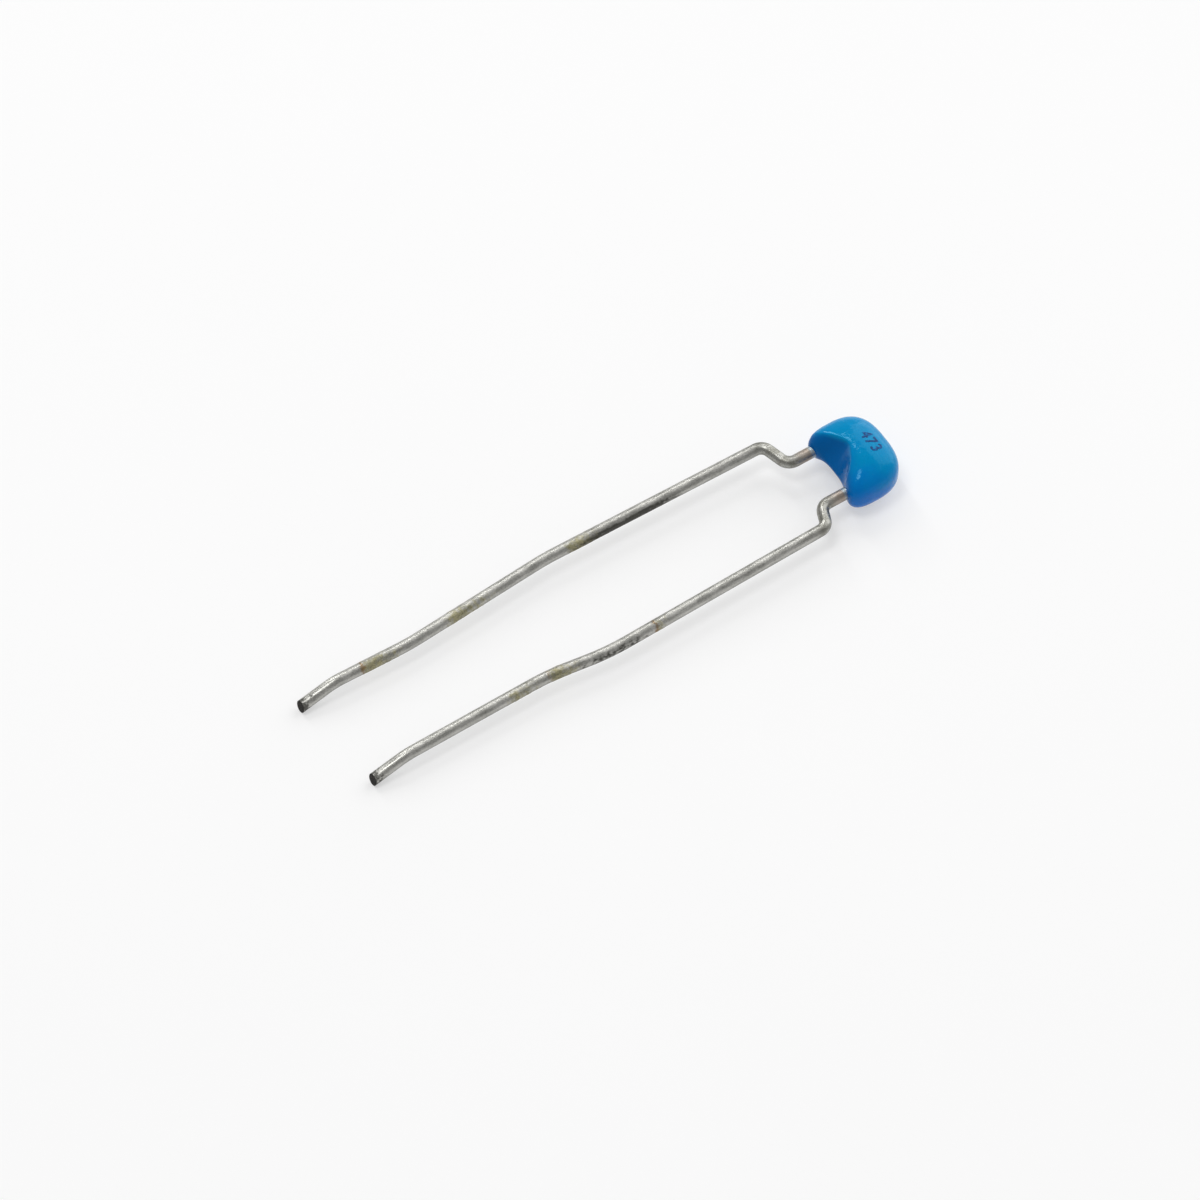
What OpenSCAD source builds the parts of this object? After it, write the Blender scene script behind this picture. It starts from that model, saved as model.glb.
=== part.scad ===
// Radial ceramic capacitor: a multilayer chip between two kinked leads, dipped in epoxy.
// It lies on its broad face. +X runs along the leads towards the coating, +Z is up.
// The origin is on the floor, under the middle of the overall length.

/* [Ceramic chip] */
// Length over the end caps, across the leads
chip_length = 2.0; // [1.6:0.1:3.2]
// Depth along the leads
chip_depth = 1.25; // [0.8:0.05:1.6]
// Height between the broad faces
chip_height = 1.0; // [0.6:0.05:1.4]
// Thickness of the end caps
cap_wall = 0.06; // [0.03:0.01:0.1]
// How far an end cap wraps along the chip
cap_wrap = 0.45; // [0.25:0.05:0.6]

/* [Electrodes] */
// Layers that run to each end cap
layers_per_side = 4; // [2:1:5]
// Thickness of one layer
layer_thickness = 0.03; // [0.02:0.005:0.04]
// Bare ceramic beside the layers
layer_side_margin = 0.15; // [0.1:0.05:0.25]
// Bare ceramic between a layer's free end and the far cap
layer_end_margin = 0.3; // [0.2:0.05:0.5]

/* [Leads] */
// Wire diameter
lead_d = 0.55; // [0.4:0.05:0.6]
// Outer pitch, just below the kinks
pitch_outside = 5.05; // [4.2:0.05:6]
// Sideways place of the chip against the middle of the outer pitch
chip_shift = -0.2; // [-0.4:0.05:0.4]
// From the bottom of the saddle to the inner corner of a kink
kink_start = 1.45; // [1.3:0.05:3]
// Length of a kink along the lead
kink_run = 0.4; // [0.2:0.05:1]
// Centre line radius of a kink's bends
kink_radius = 0.5; // [0.4:0.05:0.55]
// From the bottom of the saddle to the tip of the longer lead
lead_reach = 25.6; // [15:0.1:40]
// How much shorter the other lead was cut
lead_trim = 0.55; // [0:0.05:3]
// Length of the curl at a tip
tip_run = 1.7; // [1.2:0.1:2.5]
// Slant of the cut across a tip, in degrees
cut_slant = 25; // [0:1:35]
// Droop of a lead before its tip
lead_droop = 0.4; // [0:0.05:0.6]
// From the outer corner of a kink to the gauged straight stretch
pin_start = 0.8; // [0.6:0.1:2]
// Gauged straight stretch that passes through a board
pin_length = 8; // [2:0.5:8]

/* [Solder] */
// Film between an end cap and its lead
solder_film = 0.03; // [0.02:0.01:0.08]
// Height of the joint on the end cap
solder_height = 0.84; // [0.7:0.02:0.9]
// Height of the joint on the lead, as a share of the wire
solder_crest = 0.9; // [0.6:0.05:0.95]
// How far a lead stops short of the chip's back
lead_stop = 0.25; // [0.15:0.05:0.5]

/* [Epoxy coating] */
// Epoxy over the chip's broad faces
coat_cover = 0.7; // [0.5:0.05:1]
// Epoxy outside the leads
coat_side = 0.45; // [0.3:0.05:0.8]
// Epoxy behind the chip
coat_back = 0.7; // [0.6:0.05:1.5]
// Sideways sag of the coating against the chip
coat_sag = -0.1; // [-0.2:0.05:0.2]
// Epoxy between the chip and the bottom of the saddle
saddle_cover = 0.75; // [0.7:0.05:1.2]
// How far the coating is drawn in between the leads
saddle_depth = 1.05; // [0.6:0.05:1.2]
// Half width of the saddle
saddle_half_width = 1.6; // [1.4:0.05:1.8]
// From the middle of the coating back to where it starts to be drawn in
draw_start = 0.75; // [0.6:0.05:1]
// Share of the height lost down the front slope
front_fall = 0.78; // [0.5:0.02:0.8]
// Share of that fall that a lead holds off
lead_hold = 0.45; // [0.4:0.05:0.7]
// Half width of the epoxy that a lead holds up
hold_half_width = 0.45; // [0.4:0.05:0.6]

/* [Hidden] */
$fn = 48;

// Roundness of the coating, and of the saddle across and along the leads
coat_power = 2.8;
saddle_power = 3;
draw_power = 1.5;
draw_round_share = 0.15;
// Where the front slope starts, as a share of the drawn stretch, and how soft its ridge is
ridge_share = 0.46;
ridge_round_share = 0.05;
// The ridge retreats to the front from its apex: a little on the left, then level, and on the
// right all the way, softer as it goes
ridge_apex = 0.3;
apex_round_share = 0.1;
ridge_retreat_share = 0.72;
left_retreat_share = 0.18;
ridge_soften_share = 0.35;
last_ridge_share = 0.92;
// Facets of the coating round the leads' direction and along it, and of a solder fillet
coat_turns = 72;
coat_rings = 40;
fillet_steps = 6;

// Bends of a lead after its kink: [share of the straight run, offset outwards]
left_bends = [[0.5, 0.33], [0.83, -0.1], [1, 0.05]];
right_bends = [[0.53, 0.18], [0.66, -0.25], [1, -0.24]];
// A lead's first corners, after its end in the coating, are its kink
kink_corners = 2;
// Centre line radii of the gentle bends and of the curl at a tip
soft_radius = 12;
tip_radius = 3;
bend_step = 9;
// A smaller turn, in degrees, needs no arc
least_turn = 0.5;
wire_sides = 24;
// The swept wire lies just inside its round stretches, and laps them at their ends
wire_inset = 0.004;
wire_lap = 0.2;

ceramic_size = [chip_depth, chip_length, chip_height] - 2 * cap_wall * [1, 1, 1];
layer_size = [
    ceramic_size.x - 2 * layer_side_margin,
    ceramic_size.y - layer_end_margin,
    layer_thickness
];
lead_r = lead_d / 2;
pitch_inside = chip_length + lead_d + 2 * solder_film;

// The coating behind the saddle, and its full egg before the saddle is drawn in
coat_body = saddle_cover + chip_depth + coat_back;
half_length = (saddle_depth + coat_body) / 2;
half_width = (pitch_inside + lead_d) / 2 + coat_side;
half_height = chip_height / 2 + coat_cover;

saddle_x = (lead_reach - coat_body) / 2;
coat_x = saddle_x - saddle_depth + half_length;
chip_centre = [saddle_x + saddle_cover + chip_depth / 2, chip_shift, half_height];
lead_end_x = chip_centre.x + chip_depth / 2 - lead_stop;
neck_x = saddle_x - kink_start / 2;
kink_end = kink_start + kink_run;

function unit(v) = v / norm(v);
// Sideways place of a lead beside the chip
function lead_y(side) = chip_shift + side * pitch_inside / 2;

// A share from -1 to 1, fuller than a sine by the coating's roundness
function fuller(share) = sign(share) * pow(abs(share), 2 / coat_power);

// A point of the full egg, by its place from front to back and its turn about the leads' direction
function egg_point(place, turn) =
    let (girth = pow(max(0, 1 - pow(abs(sin(place)), coat_power)), 1 / coat_power))
    [
        half_length * sin(place),
        half_width * girth * fuller(cos(turn)),
        half_height * girth * fuller(sin(turn))
    ];

// 0 before a turn and a straight rise after it, with a soft bend between
function ramp(past, soft) =
    let (turn = max(0, min(2 * soft, past + soft)))
    turn * turn / (4 * soft) + max(0, past - soft);

// How far a lead holds the epoxy up at y
function held(y, side) = lead_hold * exp(-pow((y - lead_y(side)) / hold_half_width, 2));

// The same point with the saddle drawn in and the front sloped down from a soft ridge
function coat_point(place, turn) =
    let (
        egg = egg_point(place, turn),
        front = ramp((draw_start - egg.x) / (draw_start + half_length), draw_round_share),
        across = abs(egg.y) / saddle_half_width,
        drawn = saddle_depth * (1 - pow(max(0, 1 - front), draw_power)) * exp(-pow(across, saddle_power)),
        y = chip_shift + coat_sag + egg.y,
        left = ridge_retreat_share * ramp((egg.y - ridge_apex) / half_width, apex_round_share),
        right = ridge_retreat_share * ramp((ridge_apex - egg.y) / half_width, apex_round_share),
        levelled = left_retreat_share * (1 - exp(-left / left_retreat_share)),
        ridge = min(last_ridge_share, ridge_share + levelled + right),
        slope = ramp((front - ridge) / (1 - ridge), ridge_round_share + ridge_soften_share * right),
        fall = front_fall * slope * (1 - max(held(y, 1), held(y, -1)))
    )
    [coat_x + egg.x + drawn, y, half_height + egg.z * (1 - fall)];

// Height of a tip's centre when the lower edge of its slanted cut touches the floor
function tip_height(curl) = lead_r * cos(curl - cut_slant) / cos(cut_slant);

// Where a lead bends, from its end in the coating to its tip
function lead_corners(side, bends, reach) =
    let (
        inner_y = lead_y(side),
        outer_y = side * pitch_outside / 2,
        run = reach - tip_run - kink_end,
        last = bends[len(bends) - 1],
        slope = atan((half_height - lead_droop - lead_r) / tip_run),
        curl = atan((half_height - lead_droop - tip_height(slope)) / tip_run)
    )
    concat(
        [
            [neck_x + wire_lap, inner_y, half_height],
            [saddle_x - kink_start, inner_y, half_height],
            [saddle_x - kink_end, outer_y, half_height]
        ],
        [for (b = bends) [
            saddle_x - kink_end - b[0] * run,
            outer_y + side * b[1],
            half_height - b[0] * lead_droop
        ]],
        [[saddle_x - reach, outer_y + side * last[1], tip_height(curl)]]
    );

// The arc that rounds corner b between a and c
function arc(a, b, c, radius) =
    let (
        u = unit(a - b),
        v = unit(c - b),
        turn = 180 - acos(max(-1, min(1, u * v)))
    )
    turn < least_turn ? [b] :
    let (
        cut = radius * tan(turn / 2),
        centre = b + unit(u + v) * radius / cos(turn / 2),
        from = b + u * cut - centre,
        to = b + v * cut - centre,
        steps = ceil(turn / bend_step)
    )
    [for (i = [0:steps])
        let (part = turn * i / steps)
        centre + (from * sin(turn - part) + to * sin(part)) / sin(turn)];

// The lead's centre line, with each corner rounded by its own radius
function lead_path(corners) =
    let (last = len(corners) - 1)
    concat(
        [corners[0]],
        [for (i = [1:last - 1])
            let (radius = i <= kink_corners ? kink_radius : i == last - 1 ? tip_radius : soft_radius)
            each arc(corners[i - 1], corners[i], corners[i + 1], radius)],
        [corners[last]]
    );

// A ring of points round the centre line at point i, slanted at the cut tip
function wire_ring(path, i, radius) =
    let (
        before = i > 0 ? unit(path[i] - path[i - 1]) : [0, 0, 0],
        after = i < len(path) - 1 ? unit(path[i + 1] - path[i]) : [0, 0, 0],
        along = unit(before + after),
        side = unit(cross([0, 0, 1], along)),
        slant = i < len(path) - 1 ? 0 : tan(cut_slant),
        rise = cross(along, side) - slant * along
    )
    [for (j = [0:wire_sides - 1])
        let (angle = 360 * j / wire_sides)
        path[i] + radius * (cos(angle) * side + sin(angle) * rise)];

// A round wire swept along a path
module wire(path, radius) {
    rings = len(path);
    sides = wire_sides;
    points = [for (i = [0:rings - 1]) each wire_ring(path, i, radius)];
    walls = [for (i = [0:rings - 2], j = [0:sides - 1])
        let (k = (j + 1) % sides)
        [i * sides + k, i * sides + j, (i + 1) * sides + j, (i + 1) * sides + k]];
    start = [for (j = [0:sides - 1]) j];
    end = [for (j = [sides - 1:-1:0]) (rings - 1) * sides + j];
    polyhedron(points, concat([start, end], walls));
}

// A round bar from one point to another
module bar(from, to, radius) {
    way = to - from;
    translate(from)
        rotate([0, acos(way.z / norm(way)), atan2(way.y, way.x)])
            cylinder(h = norm(way), r = radius);
}

// The stretch of a lead from its end in the coating to just clear of it
module lead_neck(side) {
    y = lead_y(side);
    bar([lead_end_x, y, half_height], [neck_x, y, half_height], lead_r);
}

module lead(side, bends, reach) {
    corners = lead_corners(side, bends, reach);
    kink_foot = corners[kink_corners];
    down = unit(corners[kink_corners + 1] - kink_foot);
    pin_top = kink_foot + pin_start * down;
    wire(lead_path(corners), lead_r - wire_inset);
    lead_neck(side);
    bar(pin_top, pin_top + pin_length * down, lead_r);
}

module chip_box(size) {
    translate(chip_centre) cube(size, center = true);
}

// The outside of one end cap
module cap_block(side) {
    reach = cap_wall + cap_wrap;
    translate([0, side * (chip_length - reach) / 2, 0])
        chip_box([chip_depth, reach, chip_height]);
}

module termination(side) {
    difference() {
        cap_block(side);
        chip_box(ceramic_size);
    }
}

// Layers that start at one end of the block, every second place in the stack
module electrodes(side) {
    places = 2 * layers_per_side;
    pitch = ceramic_size.z / (places + 1);
    for (i = [0:layers_per_side - 1]) {
        place = 2 * i + (side > 0 ? 1 : 2);
        translate([0, side * layer_end_margin / 2, place * pitch - ceramic_size.z / 2])
            chip_box(layer_size);
    }
}

// Solder from an end cap to the middle of its lead, with a hollow fillet on both faces
module solder_wedge(side) {
    foot = solder_height / 2;
    crest = lead_r * solder_crest;
    width = solder_film + lead_r;
    upper = [for (i = [0:fillet_steps])
        let (share = i / fillet_steps)
        [side * width * share, crest + (foot - crest) * pow(1 - share, 2)]];
    lower = [for (i = [fillet_steps:-1:0]) [upper[i].x, -upper[i].y]];
    translate(chip_centre + [-chip_depth / 2, side * chip_length / 2, 0])
        rotate([90, 0, 90])
            linear_extrude(chip_depth)
                polygon(concat(upper, lower));
}

module solder(side) {
    difference() {
        solder_wedge(side);
        lead_neck(side);
    }
}

module coat_outside() {
    turns = coat_turns;
    rings = coat_rings - 1;
    back = rings * turns;
    front = back + 1;
    points = concat(
        [for (i = [1:rings], j = [0:turns - 1])
            coat_point(180 * i / coat_rings - 90, 360 * j / turns)],
        [coat_point(90, 0), coat_point(-90, 0)]
    );
    walls = [for (i = [0:rings - 2], j = [0:turns - 1])
        let (k = (j + 1) % turns, low = i * turns, high = low + turns)
        each [[low + k, low + j, high + j], [low + k, high + j, high + k]]];
    back_end = [for (j = [0:turns - 1]) [back - turns + (j + 1) % turns, back - turns + j, back]];
    front_end = [for (j = [0:turns - 1]) [j, (j + 1) % turns, front]];
    polyhedron(points, concat(walls, back_end, front_end));
}

module ceramic_block() {
    color("burlywood") difference() {
        chip_box(ceramic_size);
        electrodes(1);
        electrodes(-1);
    }
}

module left_electrodes() {
    color("dimgray") electrodes(1);
}

module right_electrodes() {
    color("dimgray") electrodes(-1);
}

module left_termination() {
    color("lightgray") termination(1);
}

module right_termination() {
    color("lightgray") termination(-1);
}

module left_solder() {
    color("silver") solder(1);
}

module right_solder() {
    color("silver") solder(-1);
}

module left_lead() {
    color("darkgray") lead(1, left_bends, lead_reach);
}

module right_lead() {
    color("darkgray") lead(-1, right_bends, lead_reach - lead_trim);
}

module epoxy_coating() {
    color("royalblue") difference() {
        coat_outside();
        chip_box(ceramic_size);
        for (side = [-1, 1]) {
            cap_block(side);
            solder_wedge(side);
            lead_neck(side);
        }
    }
}

ceramic_block();
left_electrodes();
right_electrodes();
left_termination();
right_termination();
left_solder();
right_solder();
left_lead();
right_lead();
epoxy_coating();
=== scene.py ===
from math import atan, cos, radians, sin, tan

import bpy
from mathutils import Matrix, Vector


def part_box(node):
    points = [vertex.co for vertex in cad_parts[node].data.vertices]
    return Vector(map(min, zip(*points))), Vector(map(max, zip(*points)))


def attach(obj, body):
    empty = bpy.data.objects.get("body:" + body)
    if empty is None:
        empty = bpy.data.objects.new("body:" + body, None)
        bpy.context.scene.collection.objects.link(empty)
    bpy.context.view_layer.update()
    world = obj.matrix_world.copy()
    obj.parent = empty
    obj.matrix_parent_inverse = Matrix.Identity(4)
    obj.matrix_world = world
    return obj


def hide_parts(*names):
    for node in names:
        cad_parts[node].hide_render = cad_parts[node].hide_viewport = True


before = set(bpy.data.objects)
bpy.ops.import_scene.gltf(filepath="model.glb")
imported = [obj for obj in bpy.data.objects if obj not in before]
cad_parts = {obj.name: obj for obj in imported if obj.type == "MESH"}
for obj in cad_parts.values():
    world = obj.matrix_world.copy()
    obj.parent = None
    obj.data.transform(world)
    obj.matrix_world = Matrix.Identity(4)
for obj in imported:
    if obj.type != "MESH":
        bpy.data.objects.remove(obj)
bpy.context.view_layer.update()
scene = bpy.context.scene

# Ceramic block
# A brick of fired barium titanate, tan and slightly porous, pressed and sintered in one piece
# with the electrode layers inside it.


class Field:
    """A socket whose value changes over a surface; arithmetic on it adds Math nodes."""

    def __init__(self, socket):
        self.socket = socket

    @staticmethod
    def node(tree, kind, settings=None, sockets=None, output=0):
        """A new node: its settings first, then a value, a link or a list of links per socket."""
        made = tree.nodes.new(kind)
        for name, value in (settings or {}).items():
            setattr(made, name, value)
        for name, value in (sockets or {}).items():
            links = [value] if isinstance(value, Field) else value
            if isinstance(links, list):
                for link in links:
                    tree.links.new(link.socket, made.inputs[name])
            else:
                made.inputs[name].default_value = value
        return Field(made.outputs[output])

    def math(self, operation, *values):
        tree = self.socket.id_data
        return Field.node(tree, "ShaderNodeMath", {"operation": operation}, dict(enumerate(values)))

    def __add__(self, other):
        return self.math("ADD", self, other)

    def __radd__(self, other):
        return self.math("ADD", other, self)

    def __sub__(self, other):
        return self.math("SUBTRACT", self, other)

    def __rsub__(self, other):
        return self.math("SUBTRACT", other, self)

    def __mul__(self, other):
        return self.math("MULTIPLY", self, other)

    def __rmul__(self, other):
        return self.math("MULTIPLY", other, self)

    def __truediv__(self, other):
        return self.math("DIVIDE", self, other)

    def __rtruediv__(self, other):
        return self.math("DIVIDE", other, self)

    def __pow__(self, other):
        return self.math("POWER", self, other)

    def __neg__(self):
        return self.math("MULTIPLY", self, -1.0)

    def __abs__(self):
        return self.math("ABSOLUTE", self)

    def __gt__(self, other):
        return self.math("GREATER_THAN", self, other)

    def at_least(self, other):
        return self.math("MAXIMUM", self, other)

    def at_most(self, other):
        return self.math("MINIMUM", self, other)

    def exp(self):
        return self.math("EXPONENT", self)

    def step_up(self, low, high):
        """0 below low, 1 above high, and a smooth rise between."""
        return Field.node(
            self.socket.id_data,
            "ShaderNodeMapRange",
            {"interpolation_type": "SMOOTHSTEP"},
            {"Value": self, "From Min": low, "From Max": high},
        )

    def blend(self, plain, marked):
        """A colour that goes from plain to marked as this value goes from 0 to 1."""
        sockets = {0: self, 6: plain, 7: marked}
        return Field.node(self.socket.id_data, "ShaderNodeMix", {"data_type": "RGBA"}, sockets, 2)

    def parts(self):
        """The x, y and z of a vector."""
        split = Field.node(self.socket.id_data, "ShaderNodeSeparateXYZ", None, {0: self})
        return [Field(socket) for socket in split.socket.node.outputs]


def paint(red, green, blue):
    """A colour of 0 to 255 screen values, as the linear colour that a shader takes."""
    shares = [value / 255 for value in (red, green, blue)]
    linear = [s / 12.92 if s <= 0.04045 else ((s + 0.055) / 1.055) ** 2.4 for s in shares]
    return (*linear, 1.0)


def new_finish(name, **sockets):
    """A material, its node tree and its shader, with the even values set on the shader."""
    material = bpy.data.materials.new(name)
    material.use_nodes = True
    tree = material.node_tree
    shader = tree.nodes["Principled BSDF"]
    for socket, value in sockets.items():
        shader.inputs[socket.replace("_", " ")].default_value = value
    return material, tree, shader


def object_place(tree):
    """Object coordinates, in metres."""
    return Field.node(tree, "ShaderNodeTexCoord", output="Object")


def grain(tree, place, size, detail=3.0, stretch=(1.0, 1.0, 1.0)):
    """Noise whose lumps are about size metres across, longer where stretch is above 1."""
    scale = tuple(1.0 / (size * share) for share in stretch)
    turned = Field.node(tree, "ShaderNodeMapping", None, {"Vector": place, "Scale": scale})
    sockets = {"Vector": turned, "Scale": 1.0, "Detail": detail}
    return Field.node(tree, "ShaderNodeTexNoise", None, sockets)


def feed(shader, **links):
    """Links varying values to the shader's sockets."""
    for socket, value in links.items():
        name = socket.replace("_", " ")
        value.socket.id_data.links.new(value.socket, shader.inputs[name])


def bump(tree, height, depth):
    """A normal from a height of 0 to 1 that stands depth metres high."""
    sockets = {"Height": height, "Strength": 1.0, "Distance": depth}
    return Field.node(tree, "ShaderNodeBump", None, sockets)


def dress(material, *nodes):
    """Gives CAD nodes one material."""
    for name in nodes:
        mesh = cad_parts[name].data
        mesh.materials.clear()
        mesh.materials.append(material)


mm = 0.001
ceramic_light = paint(203, 176, 136)
ceramic_dark = paint(158, 127, 90)
ceramic_crystal = 0.06 * mm
ceramic_cloud = 0.36 * mm
ceramic_pit = 0.02 * mm
ceramic_relief = 0.004 * mm

fired_ceramic, tree, shader = new_finish("fired_ceramic")
place = object_place(tree)
cloud = grain(tree, place, ceramic_cloud)
crystals = grain(tree, place, ceramic_crystal, detail=5.0)
pits = grain(tree, place, ceramic_pit).step_up(0.3, 0.45)
feed(
    shader,
    Base_Color=(0.5 * cloud + 0.5 * crystals).step_up(0.3, 0.7).blend(ceramic_dark, ceramic_light),
    Roughness=0.8 - 0.2 * crystals,
    Normal=bump(tree, 0.5 * crystals + 0.5 * pits, ceramic_relief),
)
dress(fired_ceramic, "ceramic_block")

# Electrode layers
# Thin nickel layers printed on the green ceramic and fired with it: every second layer runs
# to the left end of the block, and those between run to the right end.

nickel_light = paint(142, 138, 130)
nickel_dark = paint(96, 92, 86)
nickel_grain = 0.04 * mm
nickel_void = 0.015 * mm
nickel_relief = 0.002 * mm

fired_nickel, tree, shader = new_finish("fired_nickel", Metallic=1.0)
place = object_place(tree)
print_grain = grain(tree, place, nickel_grain)
voids = grain(tree, place, nickel_void).step_up(0.62, 0.7)
feed(
    shader,
    Base_Color=(print_grain - 0.5 * voids).blend(nickel_dark, nickel_light),
    Roughness=0.35 + 0.3 * print_grain,
    Normal=bump(tree, print_grain, nickel_relief),
)
dress(fired_nickel, "left_electrodes", "right_electrodes")

# End caps
# Metal paste dipped over the two ends of the block, fired, then plated with dull tin. They
# join the layers of one side to one lead.

cap_light = paint(206, 205, 199)
cap_dark = paint(168, 166, 158)
cap_grain = 0.05 * mm
cap_cloud = 0.3 * mm
cap_relief = 0.003 * mm

plated_cap, tree, shader = new_finish("plated_cap", Metallic=1.0)
place = object_place(tree)
plating = grain(tree, place, cap_grain, detail=4.0)
dull = grain(tree, place, cap_cloud)
feed(
    shader,
    Base_Color=(0.6 * plating + 0.4 * dull).step_up(0.3, 0.7).blend(cap_dark, cap_light),
    Roughness=0.3 + 0.3 * dull,
    Normal=bump(tree, plating, cap_relief),
)
dress(plated_cap, "left_termination", "right_termination")

# Leads
# Tinned steel wire, bent in a kink that stops the body on a board, cut to length with a slanted
# shear cut, and dulled by handling. Marks of the packing tape's glue are left along them. Shade
# is painted on their lower side and at the kinks.

coat_low, coat_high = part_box("epoxy_coating")
coat_body = 2.7 * mm
wire_radius = 0.275 * mm
pitch_outside = 5.05 * mm
kink_start = 1.45 * mm
kink_run = 0.4 * mm
kink_radius = 0.5 * mm
lead_reach = 25.6 * mm
lead_trim = 0.55 * mm
lead_droop = 0.4 * mm
soft_radius = 12 * mm
tip_run = 1.7 * mm
tip_radius = 3 * mm
cut_slant = radians(25)
# Bends after the kink: the share of the straight run, and the offset outwards
left_bends = ((0.5, 0.33 * mm), (0.83, -0.1 * mm), (1.0, 0.05 * mm))
right_bends = ((0.53, 0.18 * mm), (0.66, -0.25 * mm), (1.0, -0.24 * mm))
# Glue marks: where the tape's edge lay, how far the glue fades from it, its strength, and how
# far its edge has browned
left_marks = (
    (-11.1 * mm, 2.5 * mm, 1.0, 0.9),
    (-6.8 * mm, 3.4 * mm, 0.9, 0.2),
    (-0.4 * mm, 2.6 * mm, 0.9, 0.1),
)
right_marks = (
    (-4.6 * mm, 2.0 * mm, 1.0, 0.5),
    (-6.8 * mm, 2.8 * mm, 0.7, 0.2),
    (0.6 * mm, 0.8 * mm, 0.7, 1.0),
)
# A dark rub: start, end, turn from the top, cosine of its spread, how full and how broken it is
left_stain = (-1.3 * mm, 6.6 * mm, radians(78), cos(radians(62)), 0.86, 2.2)
right_stain = (-4.3 * mm, 1.0 * mm, radians(76), cos(radians(72)), 0.52, 4.2)
left_seed = 0.013
right_seed = 0.029

tin_bright = paint(200, 199, 194)
tin_dull = paint(146, 146, 140)
# A darker tin for the painted shade on the wire's lower side
tin_painted_shade = paint(88, 88, 83)
glue_olive = paint(168, 160, 106)
glue_dark = paint(96, 92, 52)
gum_brown = paint(122, 92, 44)
stain_dark = paint(42, 41, 33)
# The colour of the painted shade at the kinks
bend_painted_shade = paint(94, 93, 80)
flux_brown = paint(150, 122, 100)
film_pale = paint(176, 196, 206)
wire_line = 0.03 * mm
wire_cloud = 0.3 * mm
wire_speckle = 0.07 * mm
wire_relief = 0.005 * mm
kink_shoulder = 0.8 * mm
kink_middle = coat_high.x - coat_body - kink_start - kink_run / 2
kink_reach = kink_run / 2 + kink_shoulder
flux_start = 10.2 * mm
flux_end = 10.9 * mm
film_start = 11.02 * mm
film_end = 11.16 * mm
# How strongly each mark, and the painted shade at the kinks, covers the tin
bend_shade_cover = 0.65
flux_cover = 0.45
film_cover = 0.7
glue_cover = 0.75
gum_cover = 0.8
stain_cover = 0.9

tinned_wire, tree, shader = new_finish("tinned_wire")


def own(tree, name):
    """An attribute of the piece's own mesh."""
    return Field.node(tree, "ShaderNodeAttribute", {"attribute_name": name}, None, "Fac")


place = object_place(tree)
along = place.parts()[0]
drawn_lines = grain(tree, place, wire_line, stretch=(30.0, 1.0, 1.0))
dullness = grain(tree, place, wire_cloud, detail=5.0, stretch=(2.0, 1.0, 1.0))
speckle = grain(tree, place, wire_speckle, detail=4.0)
underside = own(tree, "underside")
glue = own(tree, "glue")
gum = own(tree, "gum")
stain = own(tree, "stain")
worn = (0.4 * dullness + 0.35 * speckle + 0.25 * drawn_lines).step_up(0.3, 0.68)
tin = worn.blend(tin_dull, tin_bright)
# Painted shade: the lower side of the wire is painted a darker tin colour
tin = underside.step_up(-0.35, 0.8).blend(tin, tin_painted_shade)
# Painted shade: mottled darkening painted on the wire around each kink
bent = (1.0 - abs(along - kink_middle) / kink_reach).step_up(0.0, 0.5)
bend_shade = bent * (0.55 * dullness + 0.45 * speckle).step_up(0.42, 0.58)
tin = (bend_shade_cover * bend_shade).blend(tin, bend_painted_shade)
tin = (flux_cover * along.step_up(flux_start, flux_end)).blend(tin, flux_brown)
tin = (film_cover * along.step_up(film_start, film_end)).blend(tin, film_pale)
glue_tone = (0.6 * speckle + 0.4 * dullness).step_up(0.32, 0.66)
tin = (glue_cover * glue).blend(tin, glue_tone.blend(glue_dark, glue_olive))
tin = (gum_cover * gum).blend(tin, gum_brown)
tin = (stain_cover * stain).blend(tin, stain_dark)
feed(
    shader,
    Base_Color=tin,
    Metallic=1.0 - (0.45 * glue).at_least(0.5 * stain),
    Roughness=(0.2 + 0.22 * dullness + 0.16 * speckle + 0.15 * glue + 0.15 * stain).at_most(0.9),
    Normal=bump(tree, 0.4 * drawn_lines + 0.6 * speckle, wire_relief),
)

steel_dark = paint(22, 21, 20)
steel_light = paint(72, 68, 64)
shear_line = 0.03 * mm
shear_cloud = 0.12 * mm
shear_relief = 0.012 * mm

cut_steel, tree, shader = new_finish("cut_steel", Metallic=1.0)
place = object_place(tree)
shear_lines = grain(tree, place, shear_line, stretch=(1.0, 1.0, 8.0))
burnt = grain(tree, place, shear_cloud)
feed(
    shader,
    Base_Color=(0.5 * shear_lines + 0.5 * burnt).step_up(0.4, 0.75).blend(steel_dark, steel_light),
    Roughness=0.45 + 0.3 * burnt,
    Normal=bump(tree, shear_lines, shear_relief),
)


def new_tree(name, sizes):
    """A Geometry Nodes tree with named number inputs; returns the tree and those inputs."""
    tree = bpy.data.node_groups.new(name, "GeometryNodeTree")
    tree.is_modifier = True
    tree.interface.new_socket("Geometry", in_out="INPUT", socket_type="NodeSocketGeometry")
    tree.interface.new_socket("Geometry", in_out="OUTPUT", socket_type="NodeSocketGeometry")
    for size in sizes:
        tree.interface.new_socket(size, in_out="INPUT", socket_type="NodeSocketFloat")
    entry = tree.nodes.new("NodeGroupInput")
    return tree, {socket.name: Field(socket) for socket in entry.outputs if socket.name}


def vector_math(tree, operation, *vectors, output=0):
    """Vectors put through one Vector Math node."""
    settings = {"operation": operation}
    return Field.node(tree, "ShaderNodeVectorMath", settings, dict(enumerate(vectors)), output)


def scaled(tree, vector, share):
    """A vector times a number."""
    sockets = {0: vector, "Scale": share}
    return Field.node(tree, "ShaderNodeVectorMath", {"operation": "SCALE"}, sockets)


def joined(tree, x, y, z):
    """A vector from its three parts."""
    return Field.node(tree, "ShaderNodeCombineXYZ", None, {0: x, 1: y, 2: z})


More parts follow.
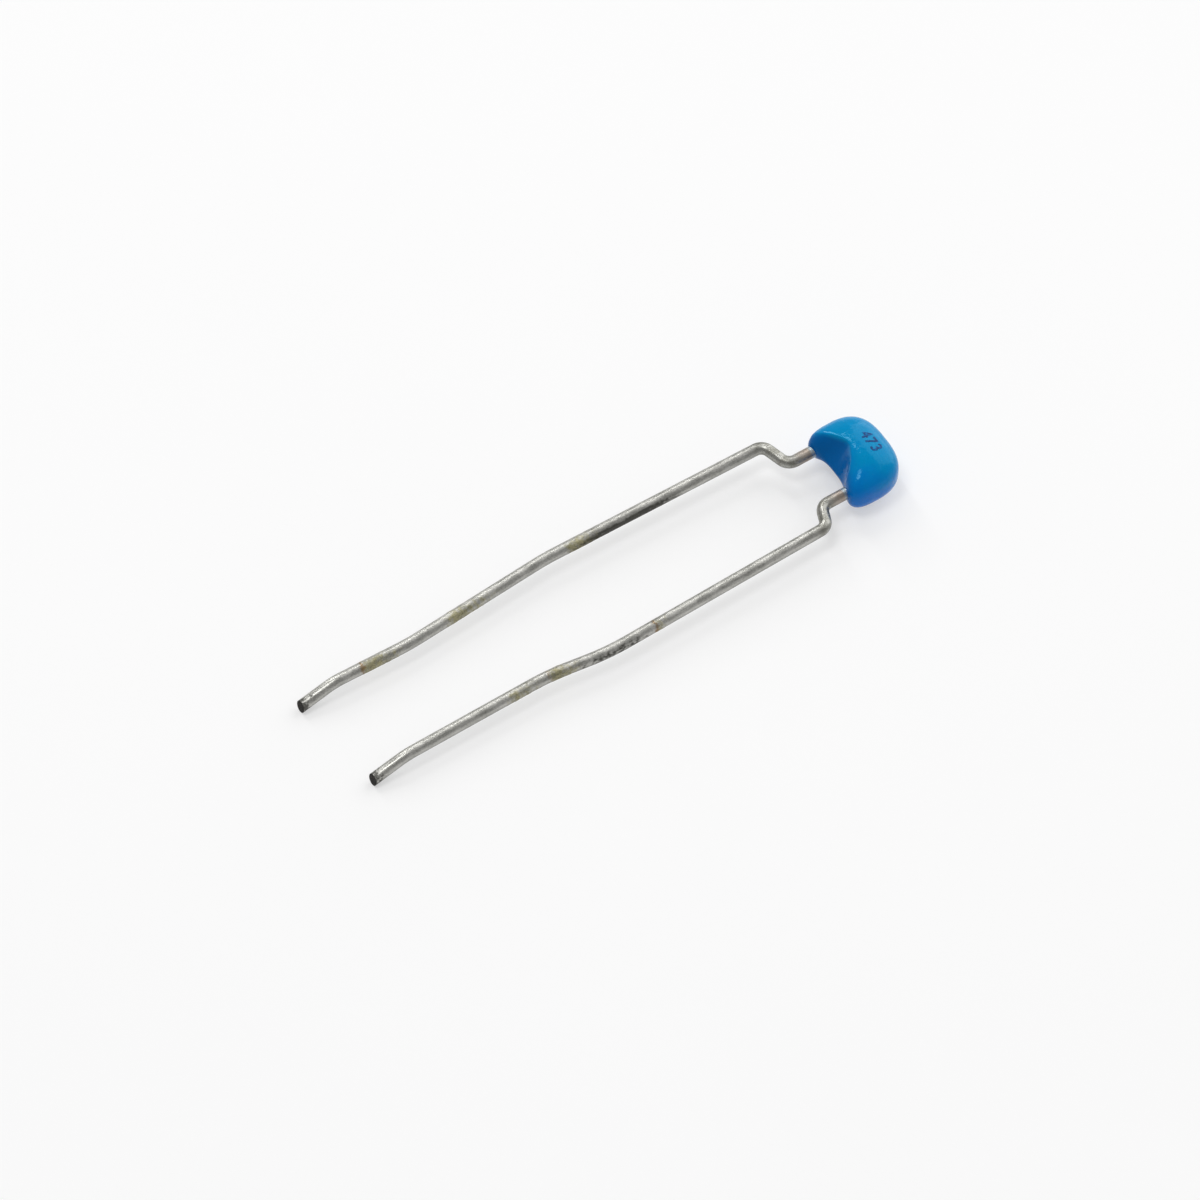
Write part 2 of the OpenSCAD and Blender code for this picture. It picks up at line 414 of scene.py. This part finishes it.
def store(tree, geometry, name, value, kind="FLOAT"):
    """Keeps a value on the points of a shape under a name."""
    sockets = {"Geometry": geometry, "Name": name, "Value": value}
    settings = {"data_type": kind, "domain": "POINT"}
    return Field.node(tree, "GeometryNodeStoreNamedAttribute", settings, sockets)


def kept(tree, name, kind="FLOAT"):
    """A value that was stored under a name."""
    settings = {"data_type": kind}
    return Field.node(tree, "GeometryNodeInputNamedAttribute", settings, {"Name": name})


def lumps(tree, place, size, detail=3.0):
    """Noise in a shape's own space, with lumps about size metres across."""
    sockets = {"Vector": scaled(tree, place, 1.0 / size), "Scale": 1.0, "Detail": detail}
    return Field.node(tree, "ShaderNodeTexNoise", None, sockets)


def close_tree(tree, geometry, material, selected=None):
    """Ends a tree: real geometry, smooth faces, and the main and a selected material."""
    real = Field.node(tree, "GeometryNodeRealizeInstances", None, {"Geometry": geometry})
    smooth = Field.node(tree, "GeometryNodeSetShadeSmooth", None, {"Geometry": real})
    sockets = {"Geometry": smooth, "Material": material}
    done = Field.node(tree, "GeometryNodeSetMaterial", None, sockets)
    if selected:
        sockets = {"Geometry": done, "Selection": selected[0], "Material": selected[1]}
        done = Field.node(tree, "GeometryNodeSetMaterial", None, sockets)
    leave = tree.nodes.new("NodeGroupOutput")
    tree.links.new(done.socket, leave.inputs[0])


def grown(name, start, tree, values):
    """Runs a tree on a start object and returns the result as a plain mesh piece."""
    scene.collection.objects.link(start)
    modifier = start.modifiers.new("grow", "NODES")
    modifier.node_group = tree
    for socket in tree.interface.items_tree:
        if socket.in_out == "INPUT" and socket.name in values:
            modifier[socket.identifier] = values[socket.name]
    scene.view_layers.update()
    depsgraph = bpy.context.evaluated_depsgraph_get()
    mesh = bpy.data.meshes.new_from_object(start.evaluated_get(depsgraph), depsgraph=depsgraph)
    start.modifiers.remove(modifier)
    bpy.data.objects.remove(start)
    mesh.name = name
    piece = bpy.data.objects.new(name, mesh)
    scene.collection.objects.link(piece)
    return piece


wire_sides = 40
bend_steps = 16
cut_share = 0.9999
wire_sizes = {
    "Wire Radius": wire_radius,
    "Step": 0.04 * mm,
    "Cut Slant": tan(cut_slant),
    "Cut Blend": 0.4 * mm,
    "Ripple": 0.004 * mm,
    "Ripple Length": 0.9 * mm,
    "Glue Film": 0.012 * mm,
    "Glue On Top": 0.45,
    "Glue Flecks": 1.3,
    "Fleck Size": 0.16 * mm,
    "Edge Waver": 0.5 * mm,
    "Waver Length": 0.3 * mm,
    "Gum Width": 0.12 * mm,
    "Speck Size": 0.13 * mm,
    "Streak Size": 0.11 * mm,
    "Streak Stretch": 4.0,
    "Streak Share": 0.55,
    "Stain Taper": 0.7,
    "Smudge Length": 1.0 * mm,
    "Smudge Fill": 0.8,
    "Smudge Breaks": 2.0,
}
mark_facts = ("Start", "Fade", "Strength", "Gum")
wire_marks = [f"Mark {number} {fact}" for number in (1, 2, 3) for fact in mark_facts]
wire_stain = [f"Stain {fact}" for fact in ("Start", "End", "Turn", "Spread", "Fill", "Breaks")]
wire_tree, size = new_tree("kinked_wire", [*wire_sizes, *wire_marks, *wire_stain, "Seed"])
tree = wire_tree
bend = Field.node(tree, "GeometryNodeInputRadius")
rounded = Field.node(
    tree,
    "GeometryNodeFilletCurve",
    {"mode": "POLY"},
    {"Curve": size["Geometry"], "Count": bend_steps, "Radius": bend, "Limit Radius": True},
)
even = Field.node(
    tree,
    "GeometryNodeResampleCurve",
    {"mode": "LENGTH"},
    {"Curve": rounded, "Length": size["Step"]},
)
path = Field.node(tree, "GeometryNodeSetCurveNormal", {"mode": "Z_UP"}, {"Curve": even})
spline = Field.node(tree, "GeometryNodeSplineParameter")
gone = Field(spline.socket.node.outputs["Length"])
whole = Field.node(tree, "GeometryNodeCurveLength", None, {"Curve": even})
path = store(tree, path, "centre", Field.node(tree, "GeometryNodeInputPosition"), "FLOAT_VECTOR")
path = store(tree, path, "heading", Field.node(tree, "GeometryNodeInputTangent"), "FLOAT_VECTOR")
path = store(tree, path, "share", spline)
path = store(tree, path, "left_to_go", whole - gone)
ring = Field.node(
    tree,
    "GeometryNodeCurvePrimitiveCircle",
    None,
    {"Resolution": wire_sides, "Radius": size["Wire Radius"]},
)
tube = Field.node(
    tree,
    "GeometryNodeCurveToMesh",
    None,
    {"Curve": path, "Profile Curve": ring, "Scale": 1.0, "Fill Caps": True},
)

# Places on the wire: along it, round it from its top, and up to its cut
spot = Field.node(tree, "GeometryNodeInputPosition")
heading = kept(tree, "heading", "FLOAT_VECTOR")
outwards = vector_math(tree, "SUBTRACT", spot, kept(tree, "centre", "FLOAT_VECTOR"))
level = vector_math(tree, "NORMALIZE", vector_math(tree, "CROSS_PRODUCT", (0.0, 0.0, 1.0), heading))
rise = vector_math(tree, "CROSS_PRODUCT", heading, level)
height = vector_math(tree, "DOT_PRODUCT", outwards, rise, output="Value")
aside = vector_math(tree, "DOT_PRODUCT", outwards, level, output="Value")
left_to_go = kept(tree, "left_to_go")
along = spot.parts()[0]
seeded = vector_math(tree, "ADD", spot, joined(tree, 0.0, 0.0, size["Seed"]))

# Glue left by the tape, thick at its browned edge and broken into flecks further on
flecks = lumps(tree, seeded, size["Fleck Size"], 4.0)
waver = size["Edge Waver"] * (lumps(tree, seeded, size["Waver Length"]) - 0.5)
low_side = (aside / size["Wire Radius"]).step_up(-0.6, 0.6)
glue_hold = size["Glue On Top"] + (1.0 - size["Glue On Top"]) * low_side
glue = 0.0
gum = 0.0
for number in (1, 2, 3):
    strength = size[f"Mark {number} Strength"]
    past = along + waver - size[f"Mark {number} Start"]
    share = past / size[f"Mark {number} Fade"]
    mark = strength * share.step_up(-0.12, 0.16) * (1.0 - share).at_least(0.0)
    glue = (mark * glue_hold).at_least(glue)
    edge = (1.0 - abs(past) / size["Gum Width"]).at_least(0.0)
    gum = (size[f"Mark {number} Gum"] * edge).at_least(gum)
glue = (glue + size["Glue Flecks"] * (flecks - 0.5)).step_up(0.22, 0.78)
gum = (gum * (0.4 + 1.2 * flecks)).step_up(0.1, 0.9)

# A dark rub along one side, and smudges behind the cut
specks = lumps(tree, seeded, size["Speck Size"])
lengthwise = vector_math(tree, "DIVIDE", seeded, joined(tree, size["Streak Stretch"], 1.0, 1.0))
streaks = lumps(tree, lengthwise, size["Streak Size"])
streaks = specks + size["Streak Share"] * (streaks - specks)
stain_turn = size["Stain Turn"]
facing = height * stain_turn.math("COSINE", stain_turn) + aside * stain_turn.math("SINE", stain_turn)
around = (facing / size["Wire Radius"]).step_up(size["Stain Spread"], 1.0)
stain_half = 0.5 * (size["Stain End"] - size["Stain Start"])
inside = 1.0 - abs(along - size["Stain Start"] - stain_half) / stain_half
taper = (inside / size["Stain Taper"]).at_least(0.0).at_most(1.0)
stain = size["Stain Fill"] + size["Stain Breaks"] * (streaks - 0.5)
stain = (stain.at_least(0.0) * around * taper).step_up(0.25, 0.75)
smudge = size["Smudge Fill"] * (1.0 - left_to_go / size["Smudge Length"]).at_least(0.0)
smudge = smudge + size["Smudge Breaks"] * (specks - 0.5)
stain = stain.at_least(0.9 * smudge.step_up(0.45, 0.7))

tube = store(tree, tube, "glue", glue)
tube = store(tree, tube, "gum", gum)
tube = store(tree, tube, "stain", stain)
# How far down the wire's side each point lies, for the painted shade on its lower side
tube = store(tree, tube, "underside", -height / size["Wire Radius"])
near_cut = (1.0 - left_to_go / size["Cut Blend"]).at_least(0.0)
wave = lumps(tree, seeded, size["Ripple Length"], 2.0) - 0.5
swell = size["Ripple"] * wave + size["Glue Film"] * glue * (0.4 + flecks)
proud = scaled(tree, vector_math(tree, "NORMALIZE", outwards), swell * (1.0 - near_cut))
slanted = scaled(tree, heading, -size["Cut Slant"] * height * near_cut)
moved = vector_math(tree, "ADD", proud, slanted)
tube = Field.node(tree, "GeometryNodeSetPosition", None, {"Geometry": tube, "Offset": moved})
close_tree(tree, tube, tinned_wire, (kept(tree, "share") > cut_share, cut_steel))


def lead_corners(lead, middle_y, bends, reach):
    """Where a lead bends, from its end in the coating to its tip, and the radius of each bend."""
    side = 1 if middle_y > 0 else -1
    saddle_x = coat_high.x - coat_body
    height = (coat_low.z + coat_high.z) / 2
    outer_y = side * pitch_outside / 2
    kink_end = kink_start + kink_run
    run = reach - tip_run - kink_end

    def tip_height(curl):
        return wire_radius * cos(curl - cut_slant) / cos(cut_slant)

    slope = atan((height - lead_droop - wire_radius) / tip_run)
    curl = atan((height - lead_droop - tip_height(slope)) / tip_run)
    corners = [
        (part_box(lead)[1].x, middle_y, height, 0.0),
        (saddle_x - kink_start, middle_y, height, kink_radius),
        (saddle_x - kink_end, outer_y, height, kink_radius),
    ]
    for share, offset in bends:
        x = saddle_x - kink_end - share * run
        radius = tip_radius if share == 1 else soft_radius
        corners.append((x, outer_y + side * offset, height - share * lead_droop, radius))
    corners.append((saddle_x - reach, outer_y + side * bends[-1][1], tip_height(curl), 0.0))
    return corners


def bent_wire(lead, corners, marks, stain, seed):
    """A lead of wire along its corners, with its glue marks and its stain."""
    name = lead + "_wire"
    line = bpy.data.curves.new(name, "CURVE")
    line.dimensions = "3D"
    spline = line.splines.new("POLY")
    spline.points.add(len(corners) - 1)
    for point, (x, y, z, radius) in zip(spline.points, corners):
        point.co = (x, y, z, 1.0)
        point.radius = radius
    values = {**wire_sizes, "Seed": seed}
    values.update(zip(wire_marks, [fact for mark in marks for fact in mark]))
    values.update(zip(wire_stain, stain))
    wire = grown(name, bpy.data.objects.new(name, line), wire_tree, values)
    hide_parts(lead)
    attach(wire, "root")


left_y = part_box("left_solder")[1].y
right_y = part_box("right_solder")[0].y
left_corners = lead_corners("left_lead", left_y, left_bends, lead_reach)
right_corners = lead_corners("right_lead", right_y, right_bends, lead_reach - lead_trim)
bent_wire("left_lead", left_corners, left_marks, left_stain, left_seed)
bent_wire("right_lead", right_corners, right_marks, right_stain, right_seed)

# Solder joints
# Soft solder that wets each end cap and the wire beside it, drawn into a smooth fillet before
# the part is dipped.

solder_light = paint(218, 218, 214)
solder_dark = paint(172, 173, 170)
solder_frost = 0.07 * mm
solder_flow = 0.35 * mm
solder_relief = 0.008 * mm

soft_solder, tree, shader = new_finish("soft_solder", Metallic=1.0)
place = object_place(tree)
frost = grain(tree, place, solder_frost, detail=5.0)
flow = grain(tree, place, solder_flow)
feed(
    shader,
    Base_Color=(0.5 * frost + 0.5 * flow).step_up(0.35, 0.65).blend(solder_dark, solder_light),
    Roughness=0.18 + 0.25 * frost,
    Normal=bump(tree, 0.7 * flow + 0.3 * frost, solder_relief),
)
dress(soft_solder, "left_solder", "right_solder")

# Epoxy coating
# Blue pigmented epoxy, built up by dipping the soldered chip and cured glossy. It runs a little
# way down both leads, so the wet edge is drawn in to a saddle and sloped down between them.

saddle_depth = 1.05 * mm
coat_length = coat_body + saddle_depth
coat_sizes = {
    "Half Length": coat_length / 2,
    "Half Width": (coat_high.y - coat_low.y) / 2,
    "Half Height": (coat_high.z - coat_low.z) / 2,
    "Roundness": 2.8,
    "Saddle Depth": saddle_depth,
    "Saddle Half Width": 1.6 * mm,
    "Saddle Power": 3.0,
    "Draw Start": 0.75 * mm,
    "Draw Power": 1.5,
    "Draw Round": 0.15,
    "Ridge Share": 0.46,
    "Ridge Round": 0.05,
    "Ridge Apex": 0.3 * mm,
    "Apex Round": 0.1,
    "Ridge Retreat": 0.72,
    "Left Retreat": 0.18,
    "Ridge Soften": 0.35,
    "Last Ridge": 0.92,
    "Front Fall": 0.78,
    "Shade Slope": 0.2,
    "Shade Soften": 0.7,
    "Left Soften": 0.3,
    "Rim Start": 0.72,
    "Rim Reach": 0.25,
    "Lead Hold": 0.45,
    "Hold Half Width": 0.45 * mm,
    "Left Lead Y": left_y,
    "Right Lead Y": right_y,
    "Centre X": coat_high.x - coat_length / 2,
    "Centre Y": (coat_low.y + coat_high.y) / 2,
}
coat_cells = 80

blue_teal = paint(0, 131, 184)
blue_azure = paint(0, 107, 195)
# The blue of the painted shade on the front
blue_painted_shade = paint(0, 90, 160)
blue_gloss = paint(150, 235, 255)
coat_cloud = 0.9 * mm
coat_peel = 0.32 * mm
coat_dust = 0.05 * mm
coat_relief = 0.022 * mm
# Painted light and shade: the blue is teal on top and turns azure from here on, lower down and
# towards the front, and this fast along each axis
top_light_from = Vector((13.34, -0.5, 2.2)) * mm
top_light_way = Vector((-0.22, -0.09, -0.42)) / mm
top_light_cloud = 0.8
front_shade_cloud = 0.4

blue_epoxy, tree, shader = new_finish("blue_epoxy", IOR=1.3, Specular_Tint=blue_gloss)
place = object_place(tree)
pigment = grain(tree, place, coat_cloud, detail=4.0)
peel = grain(tree, place, coat_peel, detail=2.0)
dust = grain(tree, place, coat_dust, detail=2.0).step_up(0.66, 0.74)
# Painted light: teal where the top is lit, azure on the lower sides
top_light = vector_math(tree, "SUBTRACT", place, top_light_from)
top_light = vector_math(tree, "DOT_PRODUCT", top_light, top_light_way, output="Value")
top_light = top_light + top_light_cloud * (pigment - 0.5)
# Painted shade: a deeper blue on the front slope and rim
front_shade = own(tree, "thin") + front_shade_cloud * (pigment - 0.5)
blue = top_light.step_up(0.0, 1.0).blend(blue_teal, blue_azure)
blue = front_shade.step_up(0.0, 1.0).blend(blue, blue_painted_shade)
feed(
    shader,
    Base_Color=blue,
    Roughness=0.07 + 0.06 * pigment + 0.15 * dust,
    Normal=bump(tree, 0.85 * peel + 0.15 * dust, coat_relief),
)

coat_tree, size = new_tree("dipped_coat", coat_sizes)
tree = coat_tree
cells = {f"Vertices {axis}": coat_cells for axis in "XYZ"}
block = Field.node(tree, "GeometryNodeMeshCube", None, {"Size": (2.0, 2.0, 2.0), **cells})
spot = Field.node(tree, "GeometryNodeInputPosition")
# Equal steps of angle over each side of the block, so that the mesh is even
turned = vector_math(tree, "TANGENT", scaled(tree, spot, radians(45)))
way = vector_math(tree, "NORMALIZE", turned)
halves = (size["Half Length"], size["Half Width"], size["Half Height"])
powers = [(abs(part) / half) ** size["Roundness"] for part, half in zip(way.parts(), halves)]
egg = (powers[0] + powers[1] + powers[2]) ** (-1.0 / size["Roundness"])
x, y, z = (egg * part for part in way.parts())


def ramp(past, soft):
    """0 before a turn and a straight rise after it, with a soft bend between."""
    turn = (past + soft).at_least(0.0).at_most(2.0 * soft)
    return turn * turn / (4.0 * soft) + (past - soft).at_least(0.0)


front = (size["Draw Start"] - x) / (size["Draw Start"] + size["Half Length"])
front = ramp(front, size["Draw Round"])
narrow = (-((abs(y) / size["Saddle Half Width"]) ** size["Saddle Power"])).exp()
pull = 1.0 - (1.0 - front).at_least(0.0) ** size["Draw Power"]
drawn = size["Saddle Depth"] * pull * narrow
# The front slopes down from a ridge. This retreats to the front from its apex: a little and
# then level on the left, and all the way on the right, softer as it goes.
aside = (y - size["Ridge Apex"]) / size["Half Width"]
left = size["Ridge Retreat"] * ramp(aside, size["Apex Round"])
right = size["Ridge Retreat"] * ramp(-aside, size["Apex Round"])
levelled = size["Left Retreat"] * (1.0 - (-left / size["Left Retreat"]).exp())
ridge = (size["Ridge Share"] + levelled + right).at_most(size["Last Ridge"])
past_ridge = (front - ridge) / (1.0 - ridge)
slope = ramp(past_ridge, size["Ridge Round"] + size["Ridge Soften"] * right)
# The leads hold the epoxy up beside them
y = size["Centre Y"] + y
held = 0.0
for lead_y in (size["Left Lead Y"], size["Right Lead Y"]):
    beside = (y - lead_y) / size["Hold Half Width"]
    held = (size["Lead Hold"] * (-(beside * beside)).exp()).at_least(held)
fall = size["Front Fall"] * slope * (1.0 - held)
moved = joined(tree, size["Centre X"] + x + drawn, y, size["Half Height"] + z * (1.0 - fall))
# The front below the ridge and along the front rim is painted deeper in colour: painted shade
fade = size["Shade Soften"] * (right + size["Left Soften"] * left)
below = (past_ridge + fade) / (size["Shade Slope"] + 2.0 * fade)
rim = (front - size["Rim Start"]) / size["Rim Reach"]
block = store(tree, block, "thin", below.at_least(rim))
coat = Field.node(tree, "GeometryNodeSetPosition", None, {"Geometry": block, "Position": moved})
close_tree(tree, coat, blue_epoxy)

seed_mesh = bpy.data.meshes.new("coat_seed")
coat = grown("dipped_coat", bpy.data.objects.new("coat_seed", seed_mesh), coat_tree, coat_sizes)
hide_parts("epoxy_coating")
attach(coat, "root")

# Printed number
# A plain value number stamped on the broad face in dark ink, thin and a little rubbed, so that
# the blue shows through it.

ink_sizes = {
    "Text Height": 0.72 * mm,
    "Letter Gap": 1.12,
    "Stroke Step": 0.03,
    "Place X": 13.24 * mm,
    "Place Y": -0.46 * mm,
    "Spread": 0.025,
    "Ink Film": 0.004 * mm,
    "Ink Sunk": 0.5,
    "Weld Distance": 0.0001 * mm,
    "Drop": 5.0 * mm,
}
ink_text = "473"
ink_cuts = 3
ink_dark = paint(6, 58, 112)
ink_worn = paint(3, 96, 158)
ink_rub = 0.12 * mm

stamped_ink, tree, shader = new_finish("stamped_ink", IOR=1.25)
place = object_place(tree)
rub = grain(tree, place, ink_rub, detail=4.0)
feed(
    shader,
    Base_Color=rub.step_up(0.42, 0.66).blend(ink_dark, ink_worn),
    Roughness=0.3 + 0.2 * rub,
)

ink_tree, size = new_tree("stamped_number", ink_sizes)
tree = ink_tree
letters = Field.node(
    tree,
    "GeometryNodeStringToCurves",
    {"align_x": "CENTER", "align_y": "MIDDLE"},
    {"String": ink_text, "Size": 1.0, "Character Spacing": size["Letter Gap"]},
)
strokes = Field.node(tree, "GeometryNodeRealizeInstances", None, {"Geometry": letters})
steps = {"Curve": strokes, "Length": size["Stroke Step"]}
strokes = Field.node(tree, "GeometryNodeResampleCurve", {"mode": "LENGTH"}, steps)
strokes = Field.node(tree, "GeometryNodeSetCurveNormal", {"mode": "Z_UP"}, {"Curve": strokes})
spread = scaled(tree, Field.node(tree, "GeometryNodeInputNormal"), size["Spread"])
strokes = Field.node(tree, "GeometryNodeSetPosition", None, {"Geometry": strokes, "Offset": spread})
sheet = Field.node(tree, "GeometryNodeFillCurve", {"mode": "TRIANGLES"}, {"Curve": strokes})
sheet = Field.node(tree, "GeometryNodeSubdivideMesh", None, {"Mesh": sheet, "Level": ink_cuts})
right, up, _ = Field.node(tree, "GeometryNodeInputPosition").parts()
above = joined(
    tree,
    size["Place X"] + up * size["Text Height"],
    size["Place Y"] - right * size["Text Height"],
    size["Drop"],
)
hit = Field.node(
    tree,
    "GeometryNodeRaycast",
    {"data_type": "FLOAT"},
    {
        "Target Geometry": size["Geometry"],
        "Source Position": above,
        "Ray Direction": (0.0, 0.0, -1.0),
        "Ray Length": 2.0 * size["Drop"],
    },
    "Hit Position",
)
normal = Field(hit.socket.node.outputs["Hit Normal"])
# The film starts a little inside the coat, so that no gap shows under its edge
sunk = scaled(tree, normal, size["Ink Sunk"] * size["Ink Film"])
sunk = vector_math(tree, "SUBTRACT", hit, sunk)
rise = (1.0 + size["Ink Sunk"]) * size["Ink Film"]
sheet = Field.node(tree, "GeometryNodeSetPosition", None, {"Geometry": sheet, "Position": sunk})
flipped = Field.node(tree, "GeometryNodeFlipFaces", None, {"Mesh": sheet})
raised = Field.node(
    tree,
    "GeometryNodeExtrudeMesh",
    {"mode": "FACES"},
    {"Mesh": sheet, "Offset Scale": rise, "Individual": False},
)
both = Field.node(tree, "GeometryNodeJoinGeometry", None, {"Geometry": [flipped, raised]})
weld = {"Geometry": both, "Distance": size["Weld Distance"]}
film = Field.node(tree, "GeometryNodeMergeByDistance", None, weld)
close_tree(tree, film, stamped_ink)

ink = grown("stamped_number", bpy.data.objects.new("ink_seed", coat.data.copy()), ink_tree, ink_sizes)
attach(ink, "root")

# Floor and light
# A pale table under a soft window, with a strip and two small panels that draw glints along the
# coat's ridge. It looks white to the eye and to the metal, and still takes a soft shadow.

table_half = 0.6
table_pale = paint(250, 250, 250)
table_shade = paint(247, 247, 247)
table_cloud = 20 * mm
table_glow = 0.5
lamp_distance = 0.6

pale_table, tree, shader = new_finish("pale_table", Roughness=0.9)
place = object_place(tree)
feed(shader, Base_Color=grain(tree, place, table_cloud).blend(table_shade, table_pale))
light_path = Field.node(tree, "ShaderNodeLightPath", output="Is Camera Ray").socket.node
seen = Field(light_path.outputs["Is Camera Ray"])
seen = seen.at_least(Field(light_path.outputs["Is Glossy Ray"]))
seen = seen.at_least(Field(light_path.outputs["Is Transmission Ray"]))
white = Field.node(tree, "ShaderNodeEmission", None, {"Color": table_pale, "Strength": 1.0})
lit = Field(shader.outputs[0])
surface = Field.node(tree, "ShaderNodeMixShader", None, {0: table_glow * seen, 1: lit, 2: white})
tree.links.new(surface.socket, tree.nodes["Material Output"].inputs["Surface"])
corners = [(x * table_half, y * table_half, 0) for x, y in ((-1, -1), (1, -1), (1, 1), (-1, 1))]
table = bpy.data.meshes.new("table")
table.from_pydata(corners, [], [(0, 1, 2, 3)])
table.materials.append(pale_table)
table_top = bpy.data.objects.new("table", table)
scene.collection.objects.link(table_top)


def panel(name, way, width, height, power):
    """A lamp panel that faces the part from a given way."""
    lamp = bpy.data.lights.new(name, "AREA")
    lamp.shape = "RECTANGLE"
    lamp.size = width
    lamp.size_y = height
    lamp.energy = power
    holder = bpy.data.objects.new(name, lamp)
    holder.location = Vector(way).normalized() * lamp_distance
    holder.rotation_euler = Vector(way).to_track_quat("Z", "Y").to_euler()
    scene.collection.objects.link(holder)


panel("window", (0.85, 0.25, 0.5), width=0.7, height=0.7, power=2.6)
panel("strip", (0.05, 0.79, 0.62), width=0.045, height=0.36, power=0.72)
panel("top_panel", (0.2, 0.54, 0.82), width=0.09, height=0.09, power=0.22)
panel("side_panel", (-0.21, 0.1, 0.97), width=0.18, height=0.18, power=0.9)

room_zenith = 0.34
room_horizon = 0.5
room_rise = 0.8
world = bpy.data.worlds.new("room")
world.use_nodes = True
tree = world.node_tree
up = Field.node(tree, "ShaderNodeTexCoord", output="Generated").parts()[2]
level = up.step_up(0.0, room_rise).blend((*(room_horizon,) * 3, 1.0), (*(room_zenith,) * 3, 1.0))
tree.links.new(level.socket, tree.nodes["Background"].inputs["Color"])
scene.world = world

# Camera
# A long lens, held high on the side of the leads and far enough away that the two leads stay
# parallel. The part lies across the middle of the picture, with its coat up on the right.

view_azimuth = radians(-33.2)
view_elevation = radians(56)
view_centre = Vector((-0.68, -0.35, 1.2)) * mm
view_width = 51.7 * mm
view_distance = 1.0
camera = bpy.data.cameras.new("camera")
camera.sensor_fit = "HORIZONTAL"
camera.lens = camera.sensor_width * view_distance / view_width
camera.clip_start = 0.01
camera.clip_end = 10.0
eye = bpy.data.objects.new("camera", camera)
back = Vector((
    cos(view_elevation) * sin(view_azimuth),
    -cos(view_elevation) * cos(view_azimuth),
    sin(view_elevation),
))
eye.location = view_centre + back * view_distance
eye.rotation_euler = back.to_track_quat("Z", "Y").to_euler()
scene.collection.objects.link(eye)
scene.camera = eye
scene.view_settings.view_transform = "Standard"
